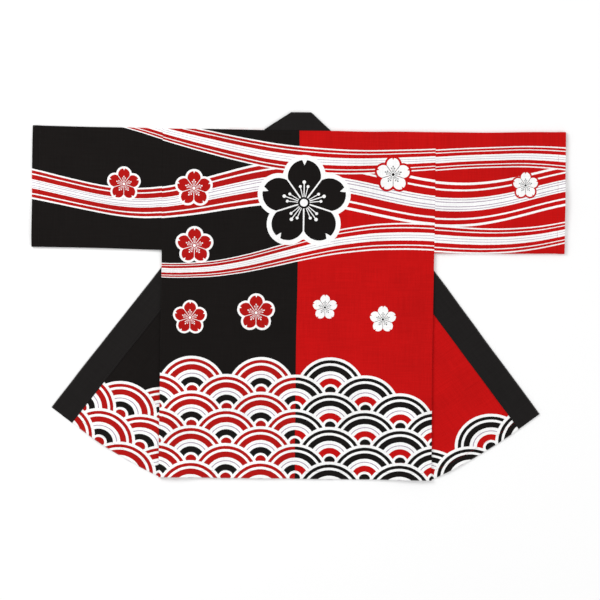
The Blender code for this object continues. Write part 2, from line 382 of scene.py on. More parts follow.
def sleeve_middle(side, x, around):
    """The middle of a sleeve's cloth. around runs from the bottom seam up the top layer and back, 0 to 2."""
    from_body = x - BODY_HALF
    low = FRONT_LEVEL + (TABLE_LEVEL - FRONT_LEVEL) * ease(from_body, 0.0, SLEEVE_SINK)
    dip = roll(from_body, SEAM_RADIUS, SEAM_DIP)
    radius = (BACK_LEVEL - low) / 2
    centre = (BACK_LEVEL + low) / 2
    lift = SLEEVE_RISE * from_body / (SLEEVE_END - BODY_HALF)
    top = SHOULDER_Y + lift - radius
    bottom = SHOULDER_Y + lift - SLEEVE_DEPTH + radius
    above = around <= 1
    share = around if above else 2 - around
    arc = math.pi * radius / 2
    length = (top - bottom) + 2 * arc
    travelled = share * length
    if travelled < arc:
        angle = math.pi - travelled / radius
        y, rise = bottom + radius * math.cos(angle), radius * math.sin(angle)
    elif travelled > length - arc:
        angle = (length - travelled) / radius
        y, rise = top + radius * math.cos(angle), radius * math.sin(angle)
    else:
        y, rise = bottom + travelled - arc, radius
    down = SHOULDER_Y + lift - y
    flat = ease(down, 0.0, 0.02) * ease(SLEEVE_DEPTH - down, 0.0, 0.02)
    if not above:
        # The hem's extra layers lift the lower side off the table.
        under = 1.6 * hem_swell(SLEEVE_END - x)
        swell = drape(side * x, down, 12.6, 0.0004) + ridge_height(x, down, SLEEVE_UNDER_RIDGES)
        return Vector((side * x, y, centre - rise + dip + under + swell * flat))
    swell = drape(side * x, down, 9.2) + ridge_height(x, down, SLEEVE_RIDGES)
    swell += hem_ripple(down, SLEEVE_END - x, 7.7 + side)
    return Vector((side * x, y, centre + rise - dip + swell * flat))


def sleeve_place(side, x, around):
    """The place on the flat cloth: both layers of a sleeve carry the print the same way up."""
    share = around if around <= 1 else 2 - around
    return side * x, BODY_LENGTH - SLEEVE_DEPTH * (1 - share) + PRINT_SLIP[side]


# Shells


def grid_normals(points, wrap):
    """The unit normals of a rows x columns x 3 grid."""
    along = np.gradient(points, axis=0)
    if wrap:
        across = (np.roll(points, -1, axis=1) - np.roll(points, 1, axis=1)) / 2
    else:
        across = np.gradient(points, axis=1)
    normals = np.cross(along, across)
    length = np.linalg.norm(normals, axis=2, keepdims=True)
    return normals / np.maximum(length, 1e-12)


def shell(name, points, places, outer, inner, outward, materials, wrap=False):
    """A closed shell of cloth: its middle, its flat places, and the distances to its outside and inside."""
    points = np.array(points, float)
    rows, columns = points.shape[:2]
    normals = grid_normals(points, wrap) * outward
    outside = points + normals * np.array(outer, float)[:, :, None]
    inside = points - normals * np.array(inner, float)[:, :, None]
    vertices = np.concatenate([outside.reshape(-1, 3), inside.reshape(-1, 3)])
    count = rows * columns
    faces, slots = [], []
    last = columns if wrap else columns - 1
    for r in range(rows - 1):
        for c in range(last):
            d = (c + 1) % columns
            quad = (r * columns + c, r * columns + d, (r + 1) * columns + d, (r + 1) * columns + c)
            if outward > 0:
                quad = quad[::-1]
            faces.append(quad)
            faces.append(tuple(count + i for i in reversed(quad)))
            slots += [0, 1]
    if wrap:
        rims = [list(range(columns)), [(rows - 1) * columns + c for c in reversed(range(columns))]]
    else:
        ring = list(range(columns))
        ring += [r * columns + columns - 1 for r in range(1, rows)]
        ring += [(rows - 1) * columns + c for c in range(columns - 2, -1, -1)]
        ring += [r * columns for r in range(rows - 2, 0, -1)]
        rims = [ring]
    for ring in rims:
        for i, a in enumerate(ring):
            b = ring[(i + 1) % len(ring)]
            quad = (a, b, b + count, a + count)
            faces.append(quad if outward > 0 else quad[::-1])
            slots.append(0)
    mesh = bpy.data.meshes.new(name)
    mesh.from_pydata(settle(vertices.tolist()), [], faces)
    for material in materials:
        mesh.materials.append(material)
    mesh.polygons.foreach_set("material_index", slots)
    attribute = mesh.attributes.new("cloth_place", "FLOAT_VECTOR", "POINT")
    flat = np.zeros((2 * count, 3), np.float32)
    flat[:, :2] = np.tile(np.array(places, np.float32).reshape(-1, 2), (2, 1))
    attribute.data.foreach_set("vector", flat.ravel())
    mesh.shade_smooth()
    mesh.update()
    obj = bpy.data.objects.new(name, mesh)
    bpy.context.scene.collection.objects.link(obj)
    return obj


def edge_stops(edge, inward):
    """Fine positions by an edge; inward is 1 or -1."""
    return [edge + inward * d for d in EDGE_STEPS]


def hem_stops(edge, inward):
    """Fine positions by a hemmed edge: the edge, the sewn line and the hem's inner fold."""
    places = edge_stops(edge, inward)
    places += [edge + inward * (SEWN_AT + d) for d in SEWN_STEPS]
    places += [edge + inward * (HEM_WIDTH + d) for d in (-0.0012, 0.0, 0.0008)]
    return places


def hem_outer(distance, along, seed):
    """How far the outside of hemmed cloth is from its middle."""
    from_line = distance - SEWN_AT
    full = SHELL / 2 + hem_swell(distance) - groove(from_line) + pucker(along, from_line, 0.012, seed)
    return max(SHELL / 4, full) * rounded(distance)


def make_back(materials):
    """The back: one panel from the shoulder to the hem."""
    fine = edge_stops(-BODY_HALF, 1) + edge_stops(BODY_HALF, -1)
    fine += [s * (BODY_HALF - SEAM_ALLOWANCE + d) for s in (-1, 1) for d in (-0.002, 0.0, 0.002)]
    across = stops(-BODY_HALF, BODY_HALF, STEP, fine)
    downs = stops(0.0, BODY_LENGTH, STEP, edge_stops(0.0, 1) + hem_stops(BODY_LENGTH, -1))
    points = [[back_middle(x, down) for x in across] for down in downs]
    places = [[(x, BODY_LENGTH - down) for x in across] for down in downs]
    outer = [[hem_outer(BODY_LENGTH - down, x, 3.0) for x in across] for down in downs]
    inner = [[SHELL / 2 * rounded(BODY_LENGTH - down) for x in across] for down in downs]
    return shell("back_panel", points, places, outer, inner, 1, materials)


def front_columns(share):
    """Flat x across one row of a front: the upper half, the crease, and the turned-out half."""
    bend = math.pi * CREASE_RADIUS / 2 / math.cos(CREASE_ANGLE)
    least = 0.00002
    upper, crease, turned = 22, 10, 44
    middle = BODY_HALF
    for _ in range(8):
        middle = crease_x(share * front_hem(middle))
    outer = max(middle - bend, FRONT_EDGE + turned * least)
    inner = max(middle + bend, outer + crease * least)
    inner = min(inner, BODY_HALF - 4 * SEAM_RADIUS)
    outer = min(outer, inner - crease * least)
    across = [BODY_HALF, BODY_HALF - 0.0003, BODY_HALF - 0.0007, BODY_HALF - SEAM_RADIUS]
    across += [across[-1] + (inner - across[-1]) * i / upper for i in range(1, upper + 1)]
    across += [inner + (outer - inner) * i / crease for i in range(1, crease + 1)]
    across += [outer + (FRONT_EDGE - outer) * i / turned for i in range(1, turned + 1)]
    return across


def make_front(name, side, materials):
    """One front, folded on its oblique crease."""
    fine = edge_stops(0.0, 1) + hem_stops(BODY_LENGTH, -1)
    fine += [CREASE_START - 0.012 + 0.002 * i for i in range(18)]
    points, places, outer, inner = [], [], [], []
    for down in stops(0.0, BODY_LENGTH, STEP, fine):
        share = down / BODY_LENGTH
        xs = front_columns(share)
        flat = [(x, share * front_hem(x)) for x in xs]
        points.append([front_middle(side, x, d) for x, d in flat])
        places.append([(side * (2 * BODY_HALF - x), front_hem(x) - d) for x, d in flat])
        outer.append([hem_outer(front_hem(x) - d, x, 5.0 + side) for x, d in flat])
        inner.append([SHELL / 2 * rounded(front_hem(x) - d) for x, d in flat])
    return shell(name, points, places, outer, inner, side, materials)


def make_sleeve(name, side, materials):
    """One sleeve: a tube pressed flat, open at the cuff, with its seam along the bottom."""
    xs = stops(BODY_HALF, SLEEVE_END, STEP, edge_stops(BODY_HALF, 1) + hem_stops(SLEEVE_END, -1))
    small = [0.002, 0.005, 0.008, 0.011, 0.014, 0.017, 0.020, 0.024, 0.030]
    fine = small + [1 - s for s in small] + [1 + s for s in small] + [2 - s for s in small]
    around = stops(0.0, 2.0, STEP / SLEEVE_DEPTH, fine + [1.0])
    points = [[sleeve_middle(side, x, a) for a in around] for x in xs]
    places = [[sleeve_place(side, x, a) for a in around] for x in xs]
    outer = [[hem_outer(SLEEVE_END - x, a * SLEEVE_DEPTH, 8.0 + side) for a in around] for x in xs]
    inner = [[SHELL / 2 * rounded(SLEEVE_END - x) for a in around] for x in xs]
    return shell(name, points, places, outer, inner, side, materials)


# The collar


def band_point(side, along, out, z):
    """A place on a front band: a distance along its seam from the crease's start, and out from the seam."""
    sin_t, cos_t = math.sin(2 * CREASE_ANGLE), math.cos(2 * CREASE_ANGLE)
    x = FRONT_EDGE + along * sin_t + out * cos_t
    y = SHOULDER_Y - CREASE_START - along * cos_t + out * sin_t
    return Vector((side * x, y, z))


BAND_END = front_hem(FRONT_EDGE) - CREASE_START


def band_top(out):
    """Where along its seam a band ends at the neck, level with the shoulder."""
    sin_t, cos_t = math.sin(2 * CREASE_ANGLE), math.cos(2 * CREASE_ANGLE)
    return (out * sin_t - CREASE_START + 0.0005) / cos_t


def band_lift(side, along, out):
    """How far a band's folded layers swell off the table. It is never below 0."""
    return COLLAR_SWELL * max(0.0, noise.noise(Vector((along * 11, out * 25, 3.3 + side))) + 0.6)


def make_band(side, materials):
    """One front band of the collar, folded and sewn flat."""
    fine = edge_stops(-COLLAR_LAP, 1) + edge_stops(COLLAR_WIDTH, -1)
    fine += [COLLAR_SEWN_AT + d for d in SEWN_STEPS]
    outs = stops(-COLLAR_LAP, COLLAR_WIDTH, STEP, fine)
    shares = stops(0.0, 1.0, STEP / BAND_END, [1 - d / BAND_END for d in EDGE_STEPS])
    points, places, outer, inner = [], [], [], []
    for share in shares:
        alongs = [band_top(out) + (BAND_END - band_top(out)) * share for out in outs]
        row = []
        for along, out in zip(alongs, outs):
            row.append(band_point(side, along, out, COLLAR_THICK / 2 + band_lift(side, along, out)))
        points.append(row)
        places.append([(out, along) for along, out in zip(alongs, outs)])
        halves = []
        for along, out in zip(alongs, outs):
            edge = min(rounded(out + COLLAR_LAP, 0.0010), rounded(COLLAR_WIDTH - out, 0.0012))
            halves.append(COLLAR_THICK / 2 * edge * rounded(BAND_END - along, 0.0012))
        inner.append([0.98 * h for h in halves])
        shaped = []
        for h, along, out in zip(halves, alongs, outs):
            from_line = out - COLLAR_SEWN_AT
            shaped.append(max(0.3 * h, h - groove(from_line) + pucker(along, from_line, 0.010, 11.0)))
        outer.append(shaped)
    return shell(f"collar_band_{side}", points, places, outer, inner, side, materials)


def neck_swell(x, above_seam, below_edge):
    """The uneven swell of the band behind the neck, where its layers pull on each other."""
    fade = ease(min(above_seam, below_edge), 0.0, 0.006)
    broad = noise.noise(Vector((x * 30, above_seam * 22, 6.6)))
    pull = noise.noise(Vector(((x + above_seam * 0.9) * 95, above_seam * 14, 2.2)))
    return NECK_SWELL * fade * max(0.0, 0.5 + 0.6 * broad + 0.5 * pull)


def make_neck(materials):
    """The back of the neck, where the collar's loop is pressed flat: an open tube with a lean."""
    low, high = SHOULDER_Y + 0.0006, cad_high.y
    rise = (COAT_TOP - NECK_WALL) / 2
    centre = COAT_TOP / 2
    ys = stops(low, high, 0.0040, edge_stops(low, 1) + edge_stops(high, -1))
    points, places, outer, inner = [], [], [], []
    for y in ys:
        share = (y - SHOULDER_Y) / (high - SHOULDER_Y)
        left = NECK_BASE[0] + (NECK_TOP[0] - NECK_BASE[0]) * share + rise
        right = NECK_BASE[1] + (NECK_TOP[1] - NECK_BASE[1]) * share - rise
        ring = []
        for near, far, start, upward in ((right, left, -90, 1), (left, right, 90, -1)):
            for turn in np.linspace(start, start + 180, 13):
                angle = math.radians(turn)
                ring.append((near + rise * math.cos(angle), centre + rise * math.sin(angle)))
            for i in range(1, 24):
                ring.append((near + (far - near) * i / 24, centre + upward * rise))
        points.append([Vector((x, y, z)) for x, z in ring])
        places.append([(COLLAR_WIDTH - (high - y), x) for x, z in ring])
        half = NECK_WALL / 2 * min(rounded(high - y, 0.0010), rounded(y - low, 0.0010))
        outer.append([half + neck_swell(x, y - low, high - y) if z > centre else half for x, z in ring])
        inner.append([half] * len(ring))
    return shell("collar_neck", points, places, outer, inner, 1, materials, wrap=True)


def join(name, objects):
    """Several objects as one, in the first one's place."""
    with bpy.context.temp_override(active_object=objects[0], selected_editable_objects=objects):
        bpy.ops.object.join()
    objects[0].name = name
    return objects[0]


# Sewing


def thread(name, runs, material, seed):
    """Rows of stitches. A run is a function from a distance to (point, normal), and its length."""
    chance = random.Random(seed)
    sides = 5
    # Each stitch bows up out of the cloth: its places along, its thickness and its height there.
    profile = ((-1.0, 0.35, -0.6), (-0.75, 0.95, 0.2), (0.0, 1.0, 0.7), (0.75, 0.95, 0.2), (1.0, 0.35, -0.6))
    vertices, faces = [], []
    for place, length in runs:
        for i in range(int(length / STITCH_PITCH)):
            middle = (i + 0.5) * STITCH_PITCH + chance.uniform(-0.0002, 0.0002)
            half = STITCH_LENGTH / 2 * chance.uniform(0.92, 1.05)
            point, normal = place(middle)
            ahead = place(middle + half)[0]
            tangent = (ahead - point).normalized()
            aside = normal.cross(tangent).normalized()
            slant = chance.uniform(-0.10, 0.10)
            first = len(vertices)
            for along, width, height in profile:
                centre = point + tangent * (along * half) + aside * (slant * along * half)
                centre = centre + normal * (height * THREAD_RADIUS)
                for k in range(sides):
                    angle = 2 * math.pi * k / sides
                    spoke = aside * math.cos(angle) + normal * math.sin(angle)
                    vertices.append(centre + spoke * (THREAD_RADIUS * width))
            for ring in range(len(profile) - 1):
                for k in range(sides):
                    a, b = first + ring * sides + k, first + ring * sides + (k + 1) % sides
                    faces.append((a, b, b + sides, a + sides))
            faces.append(tuple(first + k for k in reversed(range(sides))))
            end = first + (len(profile) - 1) * sides
            faces.append(tuple(end + k for k in range(sides)))
    mesh = bpy.data.meshes.new(name)
    mesh.from_pydata(settle(vertices), [], faces)
    mesh.materials.append(material)
    mesh.shade_smooth()
    obj = bpy.data.objects.new(name, mesh)
    bpy.context.scene.collection.objects.link(obj)
    return obj


def on_surface(middle, a, b, outward, lift):
    """A point on the outside of a surface middle(a, b), and its normal there."""
    step = 0.0004
    point = middle(a, b)
    across = middle(a + step, b) - middle(a - step, b)
    along = middle(a, b + step) - middle(a, b - step)
    normal = along.cross(across).normalized() * outward
    return point + normal * lift, normal


def sewn_lift():
    """How far the bottom of a sewn groove in a hem is from the cloth's middle."""
    return SHELL / 2 + HEM_SWELL - GROOVE + THREAD_RADIUS * 0.4


def sew_back(material):
    """The back's hem."""
    def place(distance):
        return on_surface(back_middle, -BODY_HALF + distance, BODY_LENGTH - SEWN_AT, 1, sewn_lift())

    return thread("back_hem_stitches", [(place, 2 * BODY_HALF)], material, 21)


def sew_front(name, side, material, seed):
    """A front's hem."""
    def middle(x, down):
        return front_middle(side, x, down)

    def place(distance):
        x = FRONT_EDGE + 0.001 + distance
        return on_surface(middle, x, front_hem(x) - SEWN_AT, -side, sewn_lift())

    to_crease = crease_x(BODY_LENGTH - SEWN_AT) - FRONT_EDGE
    return thread(name, [(place, to_crease - 0.005)], material, seed)


def sew_sleeve(name, side, material, seed):
    """A cuff's hem, on both layers of the sleeve."""
    x = SLEEVE_END - SEWN_AT

    def middle(station, around):
        return sleeve_middle(side, station, around)

    def place(distance):
        around = 0.02 + distance / SLEEVE_DEPTH
        step = 0.002
        point = middle(x, around)
        along = middle(x, around + step) - middle(x, around - step)
        normal = Vector((1, 0, 0)).cross(along).normalized()
        return point + normal * sewn_lift(), normal

    return thread(name, [(place, 1.96 * SLEEVE_DEPTH)], material, seed)


def sew_collar(material):
    """The line that holds each front band to its front, and the one across each band's end."""
    runs = []
    for side in (-1, 1):
        def seam(distance, side=side):
            along = band_top(COLLAR_SEWN_AT) + 0.002 + distance
            lift = COLLAR_THICK + band_lift(side, along, COLLAR_SEWN_AT) - GROOVE + THREAD_RADIUS * 0.4
            return band_point(side, along, COLLAR_SEWN_AT, lift), Vector((0, 0, 1))

        def end(distance, side=side):
            along, out = BAND_END - 0.0035, 0.004 + distance
            lift = COLLAR_THICK + band_lift(side, along, out) + THREAD_RADIUS * 0.3
            return band_point(side, along, out, lift), Vector((0, 0, 1))

        runs.append((seam, BAND_END - band_top(COLLAR_SEWN_AT) - 0.006))
        runs.append((end, COLLAR_WIDTH - 0.008))
    return thread("collar_stitches", runs, material, 55)


# Node arithmetic


class Field:
    """A number that varies over the cloth. Arithmetic on fields adds Math nodes to their tree."""

    def __init__(self, tree, socket):
        self.tree = tree
        self.socket = socket

    def math(self, operation, *others):
        node = self.tree.nodes.new("ShaderNodeMath")
        node.operation = operation
        for slot, value in zip(node.inputs, (self, *others)):
            if isinstance(value, Field):
                self.tree.links.new(value.socket, slot)
            else:
                slot.default_value = value
        return Field(self.tree, node.outputs[0])

    def __add__(self, other):
        return self.math("ADD", other)

    def __sub__(self, other):
        return self.math("SUBTRACT", other)

    def __mul__(self, other):
        return self.math("MULTIPLY", other)

    def __truediv__(self, other):
        return self.math("DIVIDE", other)

    def __neg__(self):
        return self.math("MULTIPLY", -1.0)

    def __lt__(self, other):
        return self.math("LESS_THAN", other)

    def __gt__(self, other):
        return self.math("GREATER_THAN", other)

    def __abs__(self):
        return self.math("ABSOLUTE")

    def sin(self):
        return self.math("SINE")

    def cos(self):
        return self.math("COSINE")

    def floor(self):
        return self.math("FLOOR")

    def round(self):
        return self.math("ROUND")

    def mod(self, other):
        return self.math("FLOORED_MODULO", other)

    def larger(self, other):
        return self.math("MAXIMUM", other)

    def smaller(self, other):
        return self.math("MINIMUM", other)

    def reach(self, other):
        """The length of the vector (self, other)."""
        return (self * self + other * other).math("SQRT")

    def angle(self, other):
        """The angle of the vector (other, self)."""
        return self.math("ARCTAN2", other)


def paint(tree, mask, over, under):
    """under, with over where the mask is 1. Each is a colour or a socket."""
    node = tree.nodes.new("ShaderNodeMix")
    node.data_type = "RGBA"
    tree.links.new(mask.socket, node.inputs[0])
    for slot, colour in ((node.inputs[6], under), (node.inputs[7], over)):
        if isinstance(colour, tuple):
            slot.default_value = (*colour, 1.0)
        else:
            tree.links.new(colour, slot)
    return node.outputs[2]


def noise_node(tree, vector, scale, detail):
    """A noise texture over a vector."""
    node = tree.nodes.new("ShaderNodeTexNoise")
    node.inputs["Scale"].default_value = scale
    node.inputs["Detail"].default_value = detail
    tree.links.new(vector, node.inputs["Vector"])
    return node


def bands(tree, field, edges, first, second):
    """Rings of colour. Each row of edges says from where in the field, and with which colour."""
    colours = {"first": first, "second": second, "white": WHITE, "line": LINE}
    result = None
    for limit, name in edges:
        colour = colours[name]
        result = colour if result is None else paint(tree, field > limit, colour, result)
    return result


# The print


DYE_CREEP = 0.0009

# The waves swell up to a crest on the left half of the back, and are two rows lower on the right front.
CREST_HEIGHT = 0.175
CREST_SWING = 0.060
CREST_WAVES = 6.0
CREST_PHASE = 0.60
CREST_DROP = 0.118

SCALE_RADIUS = 0.080
SCALE_RINGS = (
    # ring starts at this share of the radius, colour
    (0.00, "first"),
    (0.16, "white"),
    (0.23, "second"),
    (0.40, "white"),
    (0.487, "line"),
    (0.511, "white"),
    (0.60, "first"),
    (0.76, "white"),
    (0.83, "first"),
    (0.92, "white"),
)

# A stream's white middle with one fine line or two, and its border.
STREAM_MIDDLE = (
    # line starts at this share of the half width, colour
    (0.00, "white"),
    (0.08, "line"),
    (0.115, "white"),
    (0.20, "line"),
    (0.23, "white"),
)
STREAM_BORDER = (
    (0.30, "first"),
    (0.61, "white"),
    (0.69, "first"),
    (0.89, "white"),
)

# The streams widen and draw together towards the right sleeve, and only one reaches the left one's cuff.
STREAM_SPREAD = (2.4, 0.16)
STREAMS = (
    # fine lines, height, slope, swing, waves, phase, half width, swell, swell phase
    (2, 0.658, 0.012, 0.026, 8.6, 1.57, 0.046, 0.16, 1.1),
    (1, 0.520, 0.108, 0.018, 8.6, 0.20, 0.024, 0.20, 0.2),
    (1, 0.765, -0.090, 0.030, 5.2, 4.69, 0.025, 0.20, 2.0),
)

FLOWER_PLACE = (0.012, BODY_LENGTH - 0.1655)
FLOWER_RADIUS = 0.104
FLOWER_OUTLINE = 0.011

# The small blossoms: one to some of the cells. None lies over the waves, the big flower, the shoulder or
# a sleeve's bottom edge.
BLOSSOM_CELL = 0.150
BLOSSOM_SHARE = 0.46
BLOSSOM_SEED = 4.0
BLOSSOM_RADIUS = 0.030
BLOSSOM_GROWTH = 0.012
BLOSSOM_LOWEST = 0.355
BLOSSOM_HIGHEST = 0.750
BLOSSOM_FROM_FLOWER = 0.165
BLOSSOM_EDGE_FROM = 0.265
BLOSSOM_EDGE_BELOW = 0.570
BLOSSOM_RIM = 0.12


def wave_scales(u, v):
    """Overlapping wave scales up to a swelling crest: (inside one, distance from its centre in radii)."""
    half = SCALE_RADIUS / 2
    row = (v / half).floor()
    odd = row.mod(2.0)
    on_right_front = u > BODY_HALF + DYE_CREEP

    def scale(row, shift):
        middle = ((u - shift) / (2 * SCALE_RADIUS)).round() * (2 * SCALE_RADIUS) + shift
        height = row * half
        distance = (u - middle).reach(v - height) / SCALE_RADIUS
        crest = (middle * CREST_WAVES + CREST_PHASE).cos() * CREST_SWING + CREST_HEIGHT
        return (distance < 1.0) * (height < crest - on_right_front * CREST_DROP), distance

    upper, upper_distance = scale(row, odd * SCALE_RADIUS)
    lower, lower_distance = scale(row - 1.0, -odd * SCALE_RADIUS + SCALE_RADIUS)
    distance = upper_distance + lower * (lower_distance - upper_distance)
    return upper.larger(lower), distance


def stream(u, v, row):
    """One flowing band: (inside it, distance from its middle in half widths)."""
    height, slope, swing, waves, phase, half_width, swell, swell_phase = row
    middle = u * slope + (u * waves + phase).sin() * swing + height
    widening = (u * STREAM_SPREAD[0]).sin() * STREAM_SPREAD[1]
    width = ((u * 6.0 + swell_phase).sin() * swell + widening + 1.0) * half_width
    distance = abs(v - middle) / width
    return distance < 1.0, distance


def blossom(x, y, radius):
    """A five-petalled flower: (distance outside its edge, its fine lines, its heart), lengths in radii."""
    sector = 2 * math.pi / 5
    x, y = x / radius, y / radius
    distance = x.reach(y)
    angle = (y.angle(x) + (sector / 2 - math.pi / 2)).mod(sector) - sector / 2
    spread = abs(angle)
    along, aside = distance * spread.cos(), distance * spread.sin()
    petal = ((along - 0.585).reach(aside) - 0.365).smaller(distance - 0.30)
    notch = (along - 0.83 - aside * 2.1) * (1 / math.hypot(1, 2.1))
    edge = petal.larger(notch)
    between = (distance * (-spread + sector / 2).sin() < 0.016) * (distance < 0.66) * (distance > 0.13)
    filament = (aside < 0.011) * (distance < 0.43) * (distance > 0.13)
    leaning = (abs(distance * (spread - 0.23).sin()) < 0.009) * (distance < 0.35) * (distance > 0.13)
    anther = ((along - 0.46).reach(aside) < 0.038).larger(
        (along - 0.37 * math.cos(0.23)).reach(aside - 0.37 * math.sin(0.23)) < 0.032
    )
    lines = between.larger(filament).larger(leaning).larger(anther)
    return edge, lines, distance < 0.085


def scattered(tree, u, v, cell, seed, share):
    """Places scattered one to a cell: (offset across, offset up, size from 0 to 1, whether it is there)."""
    column, row = (u / cell).floor(), (v / cell).floor()
    index = tree.nodes.new("ShaderNodeCombineXYZ")
    tree.links.new(column.socket, index.inputs[0])
    tree.links.new(row.socket, index.inputs[1])
    index.inputs[2].default_value = seed
    chance = tree.nodes.new("ShaderNodeTexWhiteNoise")
    tree.links.new(index.outputs[0], chance.inputs["Vector"])
    split = tree.nodes.new("ShaderNodeSeparateColor")
    tree.links.new(chance.outputs["Color"], split.inputs[0])
    first, second, third = (Field(tree, split.outputs[i]) for i in range(3))
    x = u - (column + first * 0.36 + 0.32) * cell
    y = v - (row + second * 0.36 + 0.32) * cell
    return x, y, third, Field(tree, chance.outputs["Value"]) < share


def print_group():
    """The coat's print: a place on the flat cloth in, a colour out."""
    tree = bpy.data.node_groups.new("coat_print", "ShaderNodeTree")
    tree.interface.new_socket("Place", in_out="INPUT", socket_type="NodeSocketVector")
    tree.interface.new_socket("Colour", in_out="OUTPUT", socket_type="NodeSocketColor")
    entry = tree.nodes.new("NodeGroupInput")
    leave = tree.nodes.new("NodeGroupOutput")
    # The dye creeps a little along the threads, so no edge is quite straight.
    creep = noise_node(tree, entry.outputs[0], 260.0, 1.0)
    shift = tree.nodes.new("ShaderNodeVectorMath")
    shift.operation = "MULTIPLY_ADD"
    tree.links.new(creep.outputs["Color"], shift.inputs[0])
    shift.inputs[1].default_value = (DYE_CREEP, DYE_CREEP, 0.0)
    tree.links.new(entry.outputs[0], shift.inputs[2])
    split = tree.nodes.new("ShaderNodeSeparateXYZ")
    tree.links.new(shift.outputs[0], split.inputs[0])
    u, v = (Field(tree, split.outputs[i]) - DYE_CREEP / 2 for i in (0, 1))

    right = u > 0.0
    ground = paint(tree, right, RED, BLACK)
    # Red is printed deeper on the black half.
    accent = paint(tree, right, BLACK, DEEP_RED)
    flowing = paint(tree, right, RED, DEEP_RED)

    colour = ground
    for fine_lines, *row in STREAMS:
        inside, distance = stream(u, v, row)
        rings = STREAM_MIDDLE[:1 + 2 * fine_lines] + STREAM_BORDER
        colour = paint(tree, inside, bands(tree, distance, rings, flowing, ground), colour)

    inside, distance = wave_scales(u, v)
    colour = paint(tree, inside, bands(tree, distance, SCALE_RINGS, accent, ground), colour)

    x, y, size, there = scattered(tree, u, v, BLOSSOM_CELL, BLOSSOM_SEED, BLOSSOM_SHARE)
    edge, lines, heart = blossom(x, y, size * BLOSSOM_GROWTH + BLOSSOM_RADIUS)
    middle, height = u - x, v - y
    from_flower = (middle - FLOWER_PLACE[0]).reach(height - FLOWER_PLACE[1])
    at_edge = (abs(middle) > BLOSSOM_EDGE_FROM) * (height < BLOSSOM_EDGE_BELOW)
    there = there * (height > BLOSSOM_LOWEST) * (height < BLOSSOM_HIGHEST)
    there = there * (from_flower > BLOSSOM_FROM_FLOWER) * (at_edge < 0.5)
    # Red with a white rim on the black half, and white with a red rim on the red half.
    colour = paint(tree, there * (edge < BLOSSOM_RIM), paint(tree, right, RED, WHITE), colour)
    colour = paint(tree, there * (edge < 0.0), paint(tree, right, WHITE, DEEP_RED), colour)
    drawn = paint(tree, right, BLACK, WHITE)
    colour = paint(tree, there * (edge < 0.0) * lines.larger(heart), drawn, colour)

    edge, lines, heart = blossom(u - FLOWER_PLACE[0], v - FLOWER_PLACE[1], FLOWER_RADIUS)
    colour = paint(tree, edge < FLOWER_OUTLINE / FLOWER_RADIUS, WHITE, colour)
    colour = paint(tree, edge < 0.0, BLACK, colour)
    colour = paint(tree, (edge < 0.0) * lines.larger(heart), WHITE, colour)
    tree.links.new(colour, leave.inputs[0])
    return tree


# Materials


def plain_weave(u, v):
    """The height of plain-woven threads, 0 to 1: by turns a warp thread and a weft thread is on top."""
    column, row = u / THREAD_PITCH, v / THREAD_PITCH
    from_warp = abs(column - column.floor() - 0.5) * 2.0
    from_weft = abs(row - row.floor() - 0.5) * 2.0
    weft_on_top = (column.floor() + row.floor()).mod(2.0)
    across = from_warp + weft_on_top * (from_weft - from_warp)
    along = from_weft + weft_on_top * (from_warp - from_weft)
    return (-(across * across) + 1.0) * (along * along * -0.5 + 1.0)


